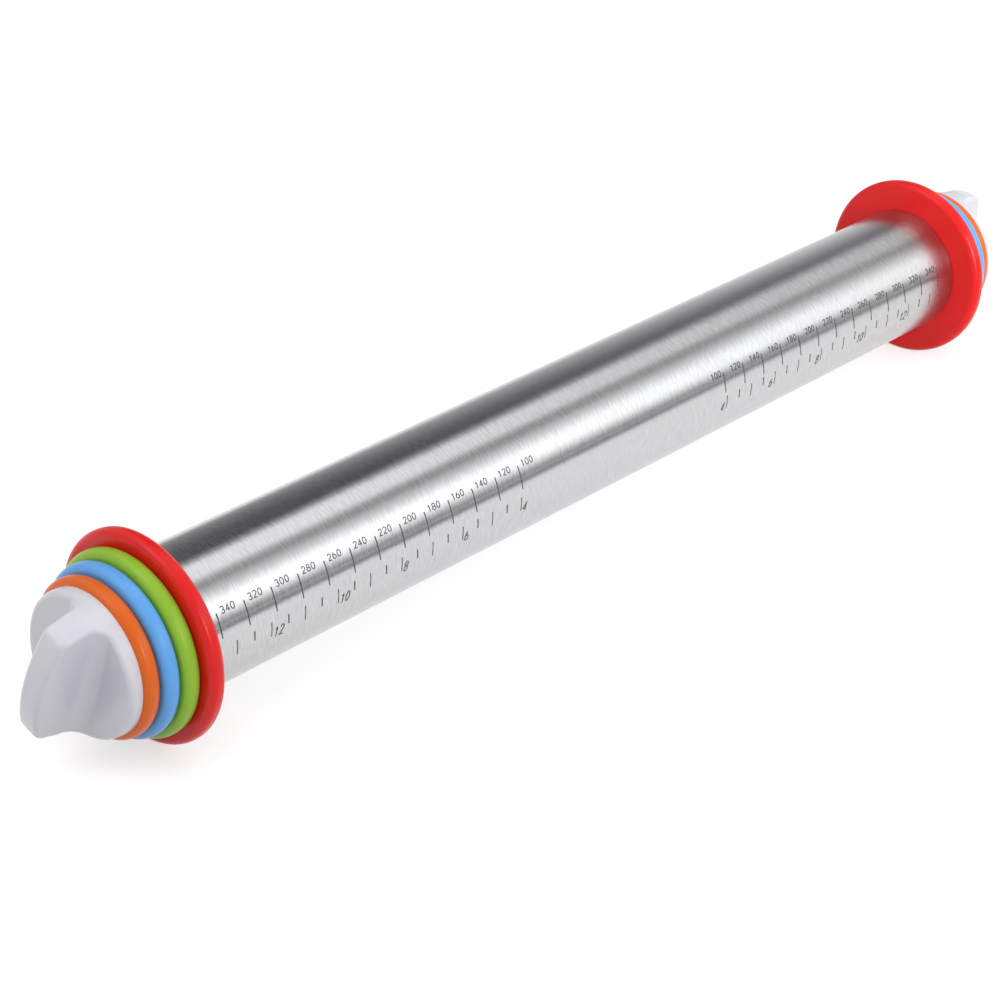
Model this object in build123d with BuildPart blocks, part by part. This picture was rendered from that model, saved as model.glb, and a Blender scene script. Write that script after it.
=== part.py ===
from build123d import *
import math
import os

os.makedirs("parts", exist_ok=True)

# Adjustable rolling pin: a steel tube with four thickness rings and a screw knob at each end.
# X runs along the roller, Z is up, and the origin is on the axis at the middle of the roller.
# All lengths are in millimetres.

# Roller tube
roller_length = 354.0
roller_radius = 21.5
tube_wall = 1.0
tube_edge_chamfer = 0.25

# Thickness rings, from the roller outwards: each one lifts the roller by its own gauge
ring_gauges = {"red": 10.0, "green": 6.0, "blue": 4.0, "orange": 2.0}
ring_thickness = 5.2
rim_round = 2.2
web_thickness = 2.2
web_margin = 2.0
hub_wall = 3.2
bore_round = 0.4

# Knob screw: a hollow screw with a hexagonal head that is sunk in the knob grip
crest_radius = 9.6
root_radius = 8.3
thread_pitch = 4.0
thread_root_width = 2.6
thread_crest_width = 1.1
thread_sink = 0.3
thread_run_out = 2.0
engaged_length = 28.0
head_apothem = 12.5
head_thickness = 1.9
screw_bore_radius = 2.5
counterbore_radius = 5.2
counterbore_floor = 5.0
screw_tip_chamfer = 1.0

# Fixing screw that holds the knob grip on its screw
fixing_radius = 2.1
fixing_head_radius = 4.4
fixing_head_height = 3.0
fixing_bite = 8.5
fixing_cross_width = 1.2
fixing_cross_length = 5.0
fixing_cross_depth = 1.4

# Knob grip: a round base with a two-ended bar between two finger scoops
base_radius = 21.5
base_rim = 1.6
base_slope_share = 0.18
base_round = 1.0
waist_inset = 0.45
waist_height = 9.5
tip_inset = 2.0
tip_round = 3.7
grip_height = 20.0
crown_drop = 3.5
bar_thickness = 8.5
bar_draft = 0.3
crest_inset = 0.6
shoulder_height = 12.0
shoulder_round = 14.0
floor_height = 2.95
floor_rise = 0.9
floor_bend = 150.0
corner_round = 4.3
scoop_edge_round = 1.5
scoop_overrun = 4.0
bar_angles = {"left": 23.1, "right": 8.0}

# End plug and its seal inside the tube
plug_wall = 3.4
plug_front = 3.0
plug_skirt = 17.0
socket_wall = 2.0
socket_flange = 2.8
socket_flange_rise = 2.6
socket_lead_in = 0.8
seal_section_radius = 0.9
seal_place = 9.0
groove_width = 2.2

# Clearances
running_clearance = 0.35
press_clearance = 0.05

# Sizes that follow from the values above
half_length = roller_length / 2
tube_inner_radius = roller_radius - tube_wall
plug_radius = tube_inner_radius - press_clearance
hole_radius = crest_radius + running_clearance
socket_radius = hole_radius + socket_wall
stack_depth = len(ring_gauges) * ring_thickness
web_recess = (ring_thickness - web_thickness) / 2
waist_radius = base_radius - waist_inset
tip_radius = base_radius - tip_inset
web_inner_radius = hole_radius + hub_wall
web_outer_radius = tube_inner_radius - web_margin
thread_depth = crest_radius - root_radius
ends = {"left": -1, "right": 1}


def axis_plane(side):
    """Profile plane at one end of the roller: x is outwards along the axis and y is the radius."""
    return Plane(origin=(side * half_length, 0, 0), x_dir=(side, 0, 0), z_dir=(0, -side, 0))


def end_plane(side, outwards=0.0, turn=0.0):
    """Plane square to the axis, facing outwards, with its x turned from upright towards the front."""
    upright = math.radians(turn)
    return Plane(
        origin=(side * (half_length + outwards), 0, 0),
        x_dir=(0, -math.sin(upright), math.cos(upright)),
        z_dir=(side, 0, 0),
    )


def band(inner_face, outer_face, inner_radius, outer_radius, mode=Mode.ADD):
    """Rectangle of a turned profile, between two faces and two radii."""
    middle = ((inner_face + outer_face) / 2, (inner_radius + outer_radius) / 2)
    with Locations(middle):
        Rectangle(outer_face - inner_face, outer_radius - inner_radius, mode=mode)


def save(piece, name):
    """Label a finished piece and write it to its own file."""
    piece.part.label = name
    export_step(piece.part, f"parts/{name}.step")


def make_roller_tube():
    with BuildPart() as tube:
        with BuildSketch(Plane.YZ.offset(-half_length)):
            Circle(roller_radius)
            Circle(tube_inner_radius, mode=Mode.SUBTRACT)
        extrude(amount=roller_length)
        rims = tube.edges().filter_by(GeomType.CIRCLE).group_by(SortBy.RADIUS)[-1]
        chamfer(rims, length=tube_edge_chamfer)
    save(tube, "roller_tube")


def make_ring(end, side, colour, slot):
    rim_radius = roller_radius + ring_gauges[colour]
    inner_face = slot * ring_thickness
    outer_face = inner_face + ring_thickness
    with BuildPart() as ring:
        with BuildSketch(axis_plane(side)) as profile:
            band(inner_face, outer_face, hole_radius, rim_radius)
            fillet(profile.vertices().group_by(Axis.Y)[-1], radius=rim_round)
            fillet(profile.vertices().group_by(Axis.Y)[0], radius=bore_round)
            band(inner_face, inner_face + web_recess, web_inner_radius, web_outer_radius, Mode.SUBTRACT)
            band(outer_face - web_recess, outer_face, web_inner_radius, web_outer_radius, Mode.SUBTRACT)
        revolve(axis=Axis.X)
    save(ring, f"{colour}_ring_{end}")


def make_end_plug(end, side):
    boss_length = engaged_length + screw_tip_chamfer
    seal_ring_radius = plug_radius - seal_section_radius
    groove_radius = seal_ring_radius - seal_section_radius - press_clearance
    with BuildPart() as plug:
        with BuildSketch(axis_plane(side)):
            band(-plug_front, 0, socket_radius, plug_radius)
            band(-plug_skirt, 0, plug_radius - plug_wall, plug_radius)
            band(-boss_length, 0, socket_radius, socket_radius + socket_wall)
            seal_back = -seal_place - groove_width / 2
            band(seal_back, seal_back + groove_width, groove_radius, plug_radius, Mode.SUBTRACT)
        revolve(axis=Axis.X)
    save(plug, f"end_plug_{end}")

    with BuildPart() as seal:
        with BuildSketch(axis_plane(side)):
            with Locations((-seal_place, seal_ring_radius)):
                Circle(seal_section_radius)
        revolve(axis=Axis.X)
    save(seal, f"plug_seal_{end}")

    with BuildPart() as socket:
        with BuildSketch(axis_plane(side)) as profile:
            flange_back = -boss_length - socket_flange
            band(flange_back, 0, hole_radius, socket_radius - press_clearance)
            chamfer(profile.vertices().group_by(Axis.X)[-1].sort_by(Axis.Y)[0], length=socket_lead_in)
            band(flange_back, -boss_length, hole_radius, socket_radius + socket_flange_rise)
        revolve(axis=Axis.X)
    save(socket, f"thread_socket_{end}")


def make_knob_screw(end, side):
    thread_start = screw_tip_chamfer + thread_root_width / 2 - engaged_length
    thread_length = stack_depth - thread_run_out - thread_start
    with BuildPart() as screw:
        with BuildSketch(axis_plane(side)) as profile:
            band(-engaged_length, stack_depth, 0, root_radius)
            chamfer(profile.vertices().group_by(Axis.X)[0].sort_by(Axis.Y)[-1], length=screw_tip_chamfer)
        revolve(axis=Axis.X)
        with BuildSketch(end_plane(side, stack_depth, bar_angles[end])):
            RegularPolygon(head_apothem, side_count=6, major_radius=False)
        extrude(amount=head_thickness)

        # Right-hand thread, one ridge swept along a helix
        with BuildLine() as rise:
            Helix(
                pitch=thread_pitch,
                height=thread_length,
                radius=root_radius,
                center=end_plane(side, thread_start).origin,
                direction=(side, 0, 0),
            )
        start = rise.line @ 0
        outwards = Vector(0, start.Y, start.Z).normalized()
        with BuildSketch(Plane(origin=start, x_dir=outwards, z_dir=rise.line % 0)):
            with BuildLine():
                Polyline(
                    (-thread_sink, -thread_root_width / 2),
                    (thread_depth, -thread_crest_width / 2),
                    (thread_depth, thread_crest_width / 2),
                    (-thread_sink, thread_root_width / 2),
                    close=True,
                )
            make_face()
        sweep(path=rise.line, is_frenet=True)

        # Bore for the fixing screw, wide up to the floor that its head sits on
        with BuildSketch(end_plane(side, -engaged_length)):
            Circle(counterbore_radius)
        extrude(amount=engaged_length + stack_depth - counterbore_floor, mode=Mode.SUBTRACT)
        with BuildSketch(end_plane(side, -engaged_length)):
            Circle(screw_bore_radius)
        extrude(amount=engaged_length + stack_depth + head_thickness, mode=Mode.SUBTRACT)
    save(screw, f"knob_screw_{end}")


def make_fixing_screw(end, side):
    seat = stack_depth - counterbore_floor
    with BuildPart() as fixing:
        with BuildSketch(axis_plane(side)) as profile:
            band(seat - fixing_head_height, seat, 0, fixing_head_radius)
            fillet(profile.vertices().group_by(Axis.X)[0].sort_by(Axis.Y)[-1], radius=fixing_head_height / 2)
            band(seat, stack_depth + head_thickness + fixing_bite, 0, fixing_radius)
        revolve(axis=Axis.X)
        with BuildSketch(end_plane(side, seat - fixing_head_height)):
            Rectangle(fixing_cross_length, fixing_cross_width)
            Rectangle(fixing_cross_width, fixing_cross_length)
        extrude(amount=fixing_cross_depth, mode=Mode.SUBTRACT)
    save(fixing, f"fixing_screw_{end}")


def make_knob_form():
    """Knob grip of the right end, with its bar upright."""
    knob = end_plane(ends["right"], stack_depth)
    bar_wall = bar_thickness / 2
    scoop_width = base_radius + scoop_overrun
    scoop_top = grip_height + scoop_overrun
    lip_height = floor_height + floor_rise * scoop_width / base_radius
    with BuildPart() as form:
        # Turned form: round base, slight waist and crowned end
        with BuildSketch(axis_plane(ends["right"])) as profile:
            with BuildLine():
                rim = Line((stack_depth, base_radius), (stack_depth + base_rim, base_radius))
                flank = Spline(
                    rim @ 1,
                    (stack_depth + waist_height, waist_radius),
                    (stack_depth + grip_height - crown_drop, tip_radius),
                    tangents=[(1, -base_slope_share), (1, 0)],
                )
                top = Vector(stack_depth + grip_height, 0)
                TangentArc(top, flank @ 1, tangent=(0, 1))
                Line(top, (stack_depth, 0))
                Line((stack_depth, 0), rim @ 0)
            make_face()
            fillet(profile.vertices().group_by(Axis.X)[-2], radius=tip_round)
            fillet(profile.vertices().group_by(Axis.Y)[-1].sort_by(Axis.X)[-1], radius=base_round)
        revolve(axis=Axis.X)
        # Finger scoops on both flanks: floor, corner and bar wall, bowed along the bar
        for flank in (-1, 1):
            section = Plane(origin=knob.origin, x_dir=knob.y_dir * flank, z_dir=knob.x_dir * flank)
            with BuildSketch(section):
                with BuildLine():
                    FilletPolyline(
                        (scoop_width, lip_height),
                        (bar_wall + bar_draft, floor_height),
                        (bar_wall, shoulder_height),
                        (bar_wall - crest_inset, scoop_top),
                        radius=(corner_round, shoulder_round),
                    )
                    Polyline(
                        (bar_wall - crest_inset, scoop_top),
                        (scoop_width, scoop_top),
                        (scoop_width, lip_height),
                    )
                make_face()
            bow_centre = knob.from_local_coords((0, 0, floor_height + floor_bend))
            revolve(axis=Axis(bow_centre, knob.y_dir), mode=Mode.SUBTRACT)
            fillet(form.edges(Select.NEW), radius=scoop_edge_round)
        # Recess for the head of the knob screw, and the hole that the fixing screw bites into
        with BuildSketch(knob):
            RegularPolygon(head_apothem + press_clearance, side_count=6, major_radius=False)
        extrude(amount=head_thickness, mode=Mode.SUBTRACT)
        with BuildSketch(knob):
            Circle(fixing_radius + press_clearance)
        extrude(amount=head_thickness + fixing_bite + fixing_radius, mode=Mode.SUBTRACT)
    return form.part


def make_knob_grip(end, side, form):
    with BuildPart() as grip:
        add(form, rotation=(bar_angles[end], 0, 0))
        if side < 0:
            mirror(about=Plane.YZ, mode=Mode.REPLACE)
    save(grip, f"knob_grip_{end}")


make_roller_tube()
knob_form = make_knob_form()
for end, side in ends.items():
    make_end_plug(end, side)
    for slot, colour in enumerate(ring_gauges):
        make_ring(end, side, colour, slot)
    make_knob_screw(end, side)
    make_fixing_screw(end, side)
    make_knob_grip(end, side, knob_form)
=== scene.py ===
import math

import bmesh
import bpy
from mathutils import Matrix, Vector


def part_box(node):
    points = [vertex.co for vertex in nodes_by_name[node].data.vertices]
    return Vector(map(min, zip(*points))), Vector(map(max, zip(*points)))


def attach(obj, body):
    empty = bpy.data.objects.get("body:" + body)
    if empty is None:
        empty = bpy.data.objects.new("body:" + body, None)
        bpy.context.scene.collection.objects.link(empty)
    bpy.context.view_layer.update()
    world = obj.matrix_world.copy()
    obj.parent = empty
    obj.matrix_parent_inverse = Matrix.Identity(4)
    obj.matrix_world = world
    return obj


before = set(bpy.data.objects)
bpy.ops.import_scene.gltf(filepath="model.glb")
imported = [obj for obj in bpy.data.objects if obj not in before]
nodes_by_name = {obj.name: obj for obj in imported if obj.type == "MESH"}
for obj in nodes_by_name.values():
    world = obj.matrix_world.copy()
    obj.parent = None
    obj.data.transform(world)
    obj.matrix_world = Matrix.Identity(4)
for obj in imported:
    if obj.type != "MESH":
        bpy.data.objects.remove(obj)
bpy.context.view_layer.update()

# Adjustable rolling pin: looks, floor, light and camera. All lengths are in metres.
# X runs along the roller and Z is up. An angle round the roller runs from the top towards the front.

ends = {"left": -1, "right": 1}
tube_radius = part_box("roller_tube")[1].z
floor_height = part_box("red_ring_left")[0].z

# Camera at the photograph's angle
camera_place = (-0.5761, -0.49455, 0.3628)
camera_aim = (0.6561, 0.6010, -0.4565)
camera_lens = 96.17
sensor_width = 36.0
farthest_seen = 20.0

# Noise in the materials: waves per metre, and the share of its range that is used
used_noise = (0.3, 0.7)
brush_along = 4200.0
brush_round = 7.0
drift_scale = 45.0
smear_scale = 90.0
skin_scale = 900.0
tarnish_scale = 320.0
wear_scale = 900.0

# Tube's brushing
steel_tones = [(0.25, (0.475, 0.478, 0.486)), (0.75, (0.572, 0.575, 0.583))]
steel_roughness = (0.190, 0.215)
brush_stretch = 0.85
brush_turn = 0.25
brush_depth = 0.00001
brush_strength = 0.02

# Mouldings: how deep the grain is, and how far handling marks move the roughness either way
skin_depth = 0.00003
smear_roughness = (-0.02, 0.04)

# Screw and print: darkest and brightest tone, and roughness
plated_tones = (0.50, 0.50, 0.53), (0.66, 0.66, 0.68)
plated_roughness = (0.22, 0.38)
mark_tones = (0.045, 0.045, 0.048), (0.105, 0.105, 0.110)
mark_roughness = (0.48, 0.62)
mark_gloss = 0.3

# Printed scale: places round the roller in degrees, lengths in metres
inch = 0.0254
metric_labels = range(100, 341, 20)
metric_top = {"left": 62.3, "right": 67.4}
metric_foot = {"left": 81.6, "right": 86.0}
metric_line = 0.00038
metric_digit_height = 0.0020
metric_digit_width = 0.00135
metric_digit_step = 0.0018
metric_digit_line = {"left": 0.00029, "right": 0.00034}
metric_number_drop = {"left": 2.1, "right": 2.8}
metric_gap = {"left": 0.0017, "right": 0.0012}
inch_labels = (4, 6, 8, 10, 12)
inch_marks = {"left": 18, "right": 19}
first_inch = 4
inch_top, inch_foot = 88.1, 100.4
half_inch_share = 0.62
whole_inch_line = 0.00030
half_inch_line = 0.00042
inch_digit_height = 0.0031
inch_digit_width = 0.0015
inch_digit_step = 0.0020
inch_digit_line = 0.00036
inch_slant = 0.24
inch_number_drop = {"left": 1.5, "right": 1.2}
inch_gap = {"left": 0.0006, "right": 0.0008}
scale_shift = {"left": 0.0007, "right": -0.00205}
inch_turn = {"left": 0.0, "right": 1.2}
mark_rise = 0.00003
mark_sink = 0.00003
longest_step = 0.0005
arc_step = 18

# Floor: a pale paper that also glows a little where it is seen, so that it shows white under the soft light
floor_size = 1.8
paper_grey = 0.60
paper_glow = 0.58

# Sky: white where it is seen, dimmer where it only lights the pin
seen_sky = 1.0
lighting_sky = 0.5

# Light tent: half a turn of a wide tube over the pin
tent_radius = 1.7
tent_ends = (-1.9, 3.1)
tent_seams = (0.0, 1.5)
tent_edge = 90.5
tent_strips = 60
# Degrees from straight above, towards the front, and how bright the tent's wall is there: level with the left
# knob, and beyond the right knob, nearer and farther
left_wall = [(-90, 0.60), (-40, 0.88), (0, 1.10), (40, 0.78), (90, 0.50)]
near_wall = [
    (-90, 0.52), (-77, 0.30), (-45, (0.065, 0.065, 0.08)), (-24, (0.015, 0.015, 0.03)), (-16, 0.50),
    (-9, 1.56), (11, 1.53), (20, 0.58), (27, 0.42), (42, 1.20), (54, 2.20), (68, 2.20), (80, 1.05), (86, 0.45),
    (90, 0.30),
]
far_wall = [
    (-90, 1.05), (-69, 0.82), (-45, (0.44, 0.44, 0.46)), (-31, (0.25, 0.25, 0.28)), (-20, 0.48), (-5, 0.64),
    (8, 0.58), (20, 0.46), (30, 0.72), (45, 1.34), (58, 1.62), (72, 1.50), (81, 0.95), (86, 0.50), (90, 0.36),
]
# Where along X the left wall gives way to the near wall, and the near wall to the far wall
left_to_near = (0.2, 0.8)
near_to_far = (1.1, 2.2)

# Low dark card in front of the pin's right half
card_front = 0.22
card_top = -0.003
card_ends = (-0.1, 1.0)
card_colour = (0.36, 0.36, 0.37, 1)
card_roughness = 0.9

# Soft disk lamps: name, place, aim, size, power in watts and spread in degrees
lamps = (
    ("soft_lamp", (-0.95, 0.35, 1.05), (0, 0, 0), 0.8, 3.0, 180),
    ("fill_lamp", (-0.15, -0.85, 0.30), (0.19, 0, 0), 0.4, 0.7, 60),
)


def new_material(name):
    material = bpy.data.materials.new(name)
    material.use_nodes = True
    tree = material.node_tree
    return material, tree, tree.nodes["Principled BSDF"]


def add(tree, kind, inputs=None, **settings):
    """New node with its settings and its inputs: a value, or an output to link."""
    node = tree.nodes.new(kind)
    for key, value in settings.items():
        setattr(node, key, value)
    for key, value in (inputs or {}).items():
        if isinstance(value, bpy.types.NodeSocket):
            tree.links.new(value, node.inputs[key])
        else:
            node.inputs[key].default_value = value
    return node


def ramp(tree, factor, stops):
    """Colour ramp whose stops are (position, colour) with a colour or a grey."""
    node = add(tree, "ShaderNodeValToRGB", {"Fac": factor})
    band = node.color_ramp
    while len(band.elements) < len(stops):
        band.elements.new(0.5)
    for element, (position, colour) in zip(band.elements, stops):
        element.position = position
        grey = isinstance(colour, (int, float))
        element.color = (colour, colour, colour, 1) if grey else (*colour, 1)
    return node.outputs["Color"]


def maths(tree, operation, first, second=0.5):
    return add(tree, "ShaderNodeMath", {0: first, 1: second}, operation=operation).outputs[0]


def background_rays(tree):
    """1 for the rays that show the background: from the camera, and mirrored or let through to it."""
    paths = add(tree, "ShaderNodeLightPath").outputs
    direct = maths(tree, "MAXIMUM", paths["Is Camera Ray"], paths["Is Glossy Ray"])
    return maths(tree, "MAXIMUM", direct, paths["Is Transmission Ray"])


def object_place(tree):
    return add(tree, "ShaderNodeTexCoord").outputs["Object"]


def separated(tree, vector):
    return add(tree, "ShaderNodeSeparateXYZ", {"Vector": vector}).outputs


def along_brushing(tree):
    """Coordinates that run along the tube and round it, so that noise becomes streaks round the tube."""
    parts = separated(tree, object_place(tree))
    turn = maths(tree, "ARCTAN2", parts["Y"], parts["Z"])
    along = maths(tree, "MULTIPLY", parts["X"], brush_along)
    # The angle is wrapped on a circle, so that no seam shows where it jumps
    up = maths(tree, "MULTIPLY", maths(tree, "SINE", turn), brush_round)
    out = maths(tree, "MULTIPLY", maths(tree, "COSINE", turn), brush_round)
    return add(tree, "ShaderNodeCombineXYZ", {"X": along, "Y": up, "Z": out}).outputs[0]


def noise(tree, vector, scale, detail, rough=0.55):
    return add(
        tree, "ShaderNodeTexNoise", {"Vector": vector, "Scale": scale, "Detail": detail, "Roughness": rough}
    ).outputs["Fac"]


def spread(tree, value, known, wanted=(0.0, 1.0)):
    """The value, moved from its known range to the wanted one."""
    return add(
        tree, "ShaderNodeMapRange",
        {"Value": value, "From Min": known[0], "From Max": known[1], "To Min": wanted[0], "To Max": wanted[1]},
    ).outputs["Result"]


def bump(tree, height, strength, distance):
    return add(
        tree, "ShaderNodeBump", {"Height": height, "Strength": strength, "Distance": distance}
    ).outputs[0]


def mixed(tree, factor, first, second):
    node = add(tree, "ShaderNodeMix", {"Factor": factor}, data_type="RGBA")
    for key, value in ((6, first), (7, second)):
        if isinstance(value, bpy.types.NodeSocket):
            tree.links.new(value, node.inputs[key])
        else:
            node.inputs[key].default_value = (*value, 1)
    return node.outputs[2]


def brushed_steel(name):
    material, tree, shader = new_material(name)
    fine = noise(tree, along_brushing(tree), 1.0, detail=0.0, rough=0.5)
    tree.links.new(ramp(tree, fine, steel_tones), shader.inputs["Base Color"])
    tree.links.new(spread(tree, fine, used_noise, steel_roughness), shader.inputs["Roughness"])
    shader.inputs["Metallic"].default_value = 1.0
    shader.inputs["Anisotropic"].default_value = brush_stretch
    shader.inputs["Anisotropic Rotation"].default_value = brush_turn
    tangent = add(tree, "ShaderNodeTangent", direction_type="RADIAL", axis="X")
    tree.links.new(tangent.outputs[0], shader.inputs["Tangent"])
    tree.links.new(bump(tree, fine, brush_strength, brush_depth), shader.inputs["Normal"])
    return material


def moulded_plastic(name, colour, shade, roughness=0.30, gloss=0.30, grain=0.02):
    """Moulded plastic: slow colour drift, a fine mould grain and faint handling marks in the gloss."""
    material, tree, shader = new_material(name)
    place = object_place(tree)
    drift = noise(tree, place, drift_scale, detail=2.0)
    tree.links.new(mixed(tree, spread(tree, drift, used_noise), shade, colour), shader.inputs["Base Color"])
    smear = noise(tree, place, smear_scale, detail=1.0, rough=0.5)
    smoothest, roughest = (roughness + change for change in smear_roughness)
    tree.links.new(spread(tree, smear, used_noise, (smoothest, roughest)), shader.inputs["Roughness"])
    skin = noise(tree, place, skin_scale, detail=1.0, rough=0.5)
    tree.links.new(bump(tree, skin, grain, skin_depth), shader.inputs["Normal"])
    shader.inputs["Specular IOR Level"].default_value = gloss
    return material


def plated_steel(name):
    material, tree, shader = new_material(name)
    tarnish = noise(tree, object_place(tree), tarnish_scale, detail=4.0)
    tone = mixed(tree, spread(tree, tarnish, used_noise), *plated_tones)
    tree.links.new(tone, shader.inputs["Base Color"])
    tree.links.new(spread(tree, tarnish, used_noise, plated_roughness), shader.inputs["Roughness"])
    shader.inputs["Metallic"].default_value = 1.0
    return material


def etched_mark(name):
    material, tree, shader = new_material(name)
    wear = noise(tree, object_place(tree), wear_scale, detail=3.0)
    tone = mixed(tree, spread(tree, wear, used_noise), *mark_tones)
    tree.links.new(tone, shader.inputs["Base Color"])
    tree.links.new(spread(tree, wear, used_noise, mark_roughness), shader.inputs["Roughness"])
    shader.inputs["Specular IOR Level"].default_value = mark_gloss
    return material


finishes = {
    "tube": brushed_steel("tube_steel"),
    "red": moulded_plastic("red_moulding", (0.74, 0.008, 0.007), (0.70, 0.007, 0.006)),
    "green": moulded_plastic("green_moulding", (0.28, 0.51, 0.030), (0.265, 0.485, 0.028)),
    "blue": moulded_plastic("blue_moulding", (0.125, 0.39, 0.84), (0.117, 0.37, 0.80)),
    "orange": moulded_plastic("orange_moulding", (0.76, 0.133, 0.008), (0.72, 0.124, 0.007)),
    "white": moulded_plastic(
        "white_moulding", (0.68, 0.67, 0.73), (0.66, 0.65, 0.71), roughness=0.20, gloss=0.45, grain=0.010
    ),
    "screw": moulded_plastic("screw_moulding", (0.66, 0.65, 0.69), (0.62, 0.61, 0.65), roughness=0.34),
    "plug": moulded_plastic("plug_moulding", (0.060, 0.060, 0.064), (0.050, 0.050, 0.053), roughness=0.46),
    "socket": moulded_plastic("socket_moulding", (0.55, 0.53, 0.48), (0.50, 0.48, 0.43), roughness=0.40),
    "rubber": moulded_plastic("seal_rubber", (0.022, 0.022, 0.023), (0.017, 0.017, 0.018), roughness=0.62),
    "plated": plated_steel("plated_screw"),
    "mark": etched_mark("etched_grey"),
}
node_finish = {"roller_tube": "tube"}
for end in ends:
    node_finish[f"knob_grip_{end}"] = "white"
    node_finish[f"knob_screw_{end}"] = "screw"
    node_finish[f"fixing_screw_{end}"] = "plated"
    node_finish[f"end_plug_{end}"] = "plug"
    node_finish[f"thread_socket_{end}"] = "socket"
    node_finish[f"plug_seal_{end}"] = "rubber"
    for colour in ("red", "green", "blue", "orange"):
        node_finish[f"{colour}_ring_{end}"] = colour
for name, finish in node_finish.items():
    materials = nodes_by_name[name].data.materials
    materials.clear()
    materials.append(finishes[finish])


def arc(x, y, across, up, start, stop):
    """Points of an arc in a digit's own box, whose height is 1."""
    steps = max(3, round(abs(stop - start) / arc_step))
    angles = [math.radians(start + (stop - start) * i / steps) for i in range(steps + 1)]
    return [(x + across * math.cos(a), y + up * math.sin(a)) for a in angles]


# Strokes of each digit in a box as high as 1 and as wide as 1, which the digit sizes scale
strokes = {
    "0": [arc(0.5, 0.5, 0.44, 0.48, 90, 450)],
    "1": [[(0.22, 0.76), (0.58, 0.98), (0.58, 0.02)]],
    "2": [arc(0.5, 0.72, 0.42, 0.26, 165, -38) + [(0.06, 0.02), (0.96, 0.02)]],
    "3": [arc(0.47, 0.745, 0.40, 0.235, 150, -90) + arc(0.47, 0.265, 0.45, 0.245, 90, -150)],
    "4": [[(0.98, 0.28), (0.04, 0.28), (0.70, 0.98), (0.70, 0.02)]],
    "6": [arc(0.92, 0.34, 0.86, 0.64, 118, 180) + arc(0.5, 0.30, 0.43, 0.28, 180, 540)],
    "8": [arc(0.5, 0.745, 0.38, 0.235, -90, 270) + arc(0.5, 0.265, 0.45, 0.245, 90, 450)],
}


def on_tube(along, angle, rise):
    turn = math.radians(angle)
    radius = tube_radius + rise
    return Vector((along, -radius * math.sin(turn), radius * math.cos(turn)))


def add_line(mesh, points, width):
    """One printed line: a closed strip along points of (along, degrees), laid on the tube."""
    degree = math.radians(1) * tube_radius
    dense = [points[0]]
    for (x0, a0), (x1, a1) in zip(points, points[1:]):
        count = max(1, math.ceil(math.hypot(x1 - x0, (a1 - a0) * degree) / longest_step))
        dense += [(x0 + (x1 - x0) * i / count, a0 + (a1 - a0) * i / count) for i in range(1, count + 1)]
    rings = []
    for i, (x, a) in enumerate(dense):
        before, after = dense[max(i - 1, 0)], dense[min(i + 1, len(dense) - 1)]
        dx, da = after[0] - before[0], (after[1] - before[1]) * degree
        length = math.hypot(dx, da) or 1.0
        side_x, side_a = -da / length * width / 2, dx / length * width / 2 / degree
        corners = [(1, mark_rise), (-1, mark_rise), (-1, -mark_sink), (1, -mark_sink)]
        rings.append([mesh.verts.new(on_tube(x + s * side_x, a + s * side_a, r)) for s, r in corners])
    for first, second in zip(rings, rings[1:]):
        for k in range(4):
            mesh.faces.new((first[k], first[(k + 1) % 4], second[(k + 1) % 4], second[k]))
    mesh.faces.new(rings[0][::-1])
    mesh.faces.new(rings[-1])


def add_number(mesh, text, start, foot, height, width, step, line, slant=0.0):
    """A number that reads along +X from start, standing on the angle foot."""
    degree = math.radians(1) * tube_radius
    for place, digit in enumerate(text):
        for stroke in strokes[digit]:
            points = []
            for u, v in stroke:
                along = start + place * step + u * width + slant * v * height
                points.append((along, foot - v * height / degree))
            add_line(mesh, points, line)


def number_length(text, width, step):
    return (len(text) - 1) * step + width


def new_piece(name, mesh, material):
    """Object of one material from a bmesh, which is used up."""
    data = bpy.data.meshes.new(name)
    mesh.to_mesh(data)
    mesh.free()
    data.materials.append(material)
    piece = bpy.data.objects.new(name, data)
    bpy.context.scene.collection.objects.link(piece)
    return piece


def finish_marks(mesh, name):
    bmesh.ops.recalc_face_normals(mesh, faces=mesh.faces)
    piece = new_piece(name, mesh, finishes["mark"])
    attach(piece, "roller")


def number_start(side, mark, gap, length):
    """Numbers stand on the side of their mark that is nearer the middle of the roller."""
    return mark + gap if side < 0 else mark - gap - length


for end, side in ends.items():
    top, foot = metric_top[end], metric_foot[end]
    marks = bmesh.new()
    for label in metric_labels:
        mark = side * label / 2000 + scale_shift[end]
        add_line(marks, [(mark, top), (mark, foot)], metric_line)
        text = str(label)
        length = number_length(text, metric_digit_width, metric_digit_step)
        start = number_start(side, mark, metric_gap[end], length)
        add_number(marks, text, start, top + metric_number_drop[end], metric_digit_height,
                   metric_digit_width, metric_digit_step, metric_digit_line[end])
    finish_marks(marks, f"metric_scale_{end}")

    top, foot = inch_top + inch_turn[end], inch_foot + inch_turn[end]
    marks = bmesh.new()
    for count in range(inch_marks[end] + 1):
        whole = count % 2 == 0
        value = first_inch + count / 2
        mark = side * value * inch / 2 + scale_shift[end]
        mark_foot = foot if whole else top + (foot - top) * half_inch_share
        add_line(marks, [(mark, top), (mark, mark_foot)], whole_inch_line if whole else half_inch_line)
        if whole and int(value) in inch_labels:
            text = str(int(value))
            length = number_length(text, inch_digit_width, inch_digit_step) + inch_slant * inch_digit_height
            start = number_start(side, mark, inch_gap[end], length)
            add_number(marks, text, start, foot + inch_number_drop[end], inch_digit_height,
                       inch_digit_width, inch_digit_step, inch_digit_line, inch_slant)
    finish_marks(marks, f"inch_scale_{end}")

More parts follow.
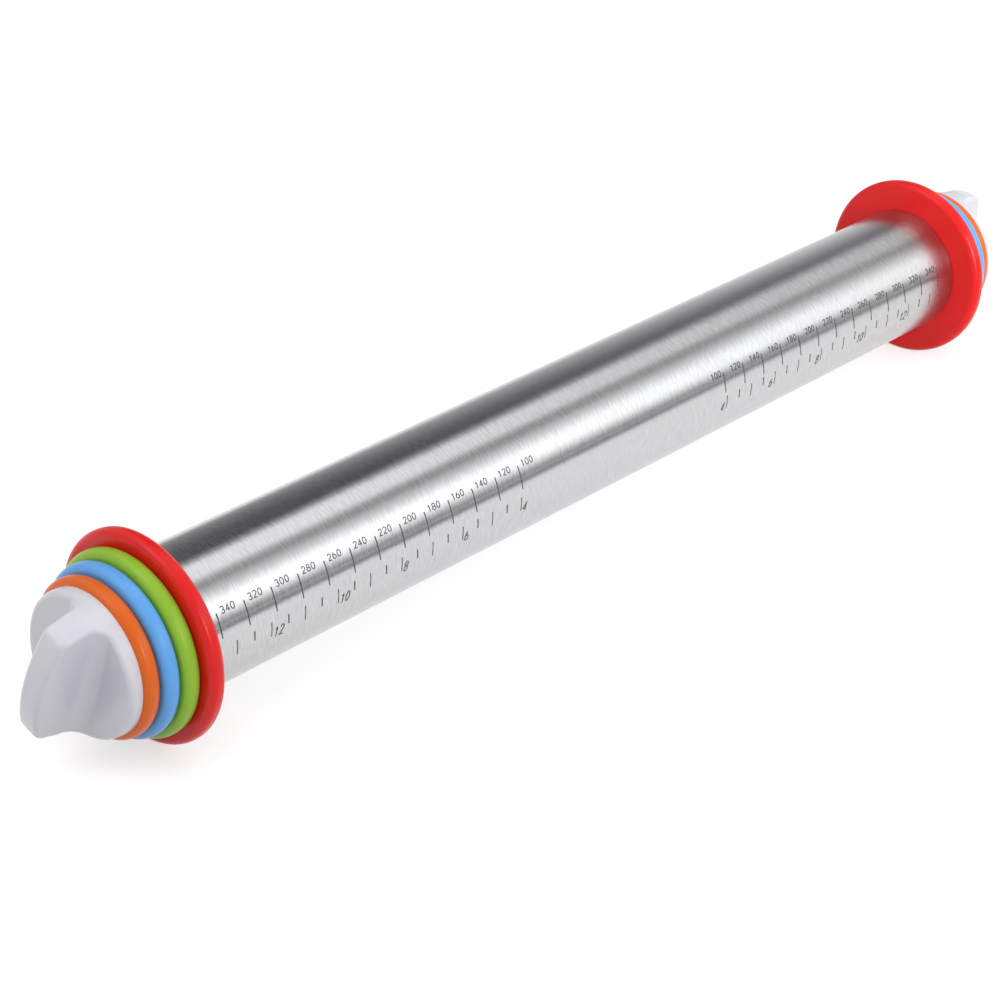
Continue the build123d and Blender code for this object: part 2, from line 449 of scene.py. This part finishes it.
# Floor, which takes the pin's shadow
paper, paper_tree, paper_shader = new_material("floor_paper")
paper_tree.nodes.remove(paper_shader)
paper_colour = (paper_grey, paper_grey, paper_grey, 1)
lit = add(paper_tree, "ShaderNodeBsdfDiffuse", {"Color": paper_colour}).outputs[0]
glow = add(paper_tree, "ShaderNodeEmission", {"Color": (1, 1, 1, 1), "Strength": paper_glow}).outputs[0]
bright = add(paper_tree, "ShaderNodeAddShader", {0: lit, 1: glow}).outputs[0]
cover = add(
    paper_tree, "ShaderNodeMixShader", {"Fac": background_rays(paper_tree), 1: lit, 2: bright}
).outputs[0]
paper_tree.links.new(cover, paper_tree.nodes["Material Output"].inputs["Surface"])
floor_mesh = bmesh.new()
bmesh.ops.create_grid(floor_mesh, x_segments=1, y_segments=1, size=floor_size / 2)
floor = new_piece("floor", floor_mesh, paper)
floor.location.z = floor_height

# Sky
world = bpy.data.worlds.new("studio")
bpy.context.scene.world = world
world.use_nodes = True
sky = world.node_tree
sky.nodes.clear()
white = add(sky, "ShaderNodeBackground", {"Color": (1, 1, 1, 1), "Strength": seen_sky}).outputs[0]
dim = add(sky, "ShaderNodeBackground", {"Color": (1, 1, 1, 1), "Strength": lighting_sky}).outputs[0]
sky_mix = add(sky, "ShaderNodeMixShader", {"Fac": background_rays(sky), 1: dim, 2: white}).outputs[0]
sky_output = add(sky, "ShaderNodeOutputWorld")
sky.links.new(sky_mix, sky_output.inputs["Surface"])

# Light tent, whose bright and dark strips draw the bands along the tube
cloth, cloth_tree, cloth_shader = new_material("tent_cloth")
cloth_tree.nodes.remove(cloth_shader)
parts = separated(cloth_tree, object_place(cloth_tree))
front = maths(cloth_tree, "MULTIPLY", parts["Y"], -1.0)
wall_angle = maths(cloth_tree, "ARCTAN2", front, parts["Z"])
wall_place = spread(cloth_tree, wall_angle, (-math.pi, math.pi))
left_light, near_light, far_light = [
    ramp(cloth_tree, wall_place, [((degrees + 180) / 360, light) for degrees, light in wall])
    for wall in (left_wall, near_wall, far_wall)
]
nearness = spread(cloth_tree, parts["X"], left_to_near)
farness = spread(cloth_tree, parts["X"], near_to_far)
wall_light = mixed(cloth_tree, nearness, left_light, mixed(cloth_tree, farness, near_light, far_light))
wall_glow = add(cloth_tree, "ShaderNodeEmission", {"Color": wall_light, "Strength": 1.0}).outputs[0]
cloth_tree.links.new(wall_glow, cloth_tree.nodes["Material Output"].inputs["Surface"])
tent_mesh = bmesh.new()
rows = []
for strip in range(tent_strips + 1):
    turn = math.radians(tent_edge * (2 * strip / tent_strips - 1))
    rows.append([
        tent_mesh.verts.new((x, -tent_radius * math.sin(turn), tent_radius * math.cos(turn)))
        for x in (tent_ends[0], *tent_seams, tent_ends[1])
    ])
for first, second in zip(rows, rows[1:]):
    for k in range(len(first) - 1):
        tent_mesh.faces.new((first[k], first[k + 1], second[k + 1], second[k]))
tent = new_piece("light_tent", tent_mesh, cloth)
tent.visible_camera = False

# Dark card, which draws the narrow dark strip along the tube's front
board, board_tree, board_shader = new_material("card_board")
board_shader.inputs["Base Color"].default_value = card_colour
board_shader.inputs["Roughness"].default_value = card_roughness
card_mesh = bmesh.new()
card_left, card_right = card_ends
card_mesh.faces.new([
    card_mesh.verts.new((x, -card_front, z))
    for x, z in (
        (card_left, floor_height), (card_right, floor_height), (card_right, card_top), (card_left, card_top)
    )
])
card = new_piece("dark_card", card_mesh, board)
card.visible_camera = card.visible_shadow = card.visible_diffuse = False

# Lamps: one high on the left and a little behind, one in front that fills the right rings
for name, lamp_place, lamp_aim, size, power, cone in lamps:
    lamp_data = bpy.data.lights.new(name, "AREA")
    lamp_data.shape = "DISK"
    lamp_data.size = size
    lamp_data.energy = power
    lamp_data.spread = math.radians(cone)
    lamp = bpy.data.objects.new(name, lamp_data)
    lamp.location = lamp_place
    lamp.rotation_euler = (Vector(lamp_aim) - Vector(lamp_place)).to_track_quat("-Z", "Y").to_euler()
    bpy.context.scene.collection.objects.link(lamp)

# Camera
lens = bpy.data.cameras.new("camera")
lens.sensor_width = sensor_width
lens.lens = camera_lens
lens.clip_end = farthest_seen
camera = bpy.data.objects.new("camera", lens)
camera.location = camera_place
camera.rotation_euler = Vector(camera_aim).to_track_quat("-Z", "Y").to_euler()
bpy.context.scene.collection.objects.link(camera)
bpy.context.scene.camera = camera
bpy.context.scene.view_settings.view_transform = "Standard"
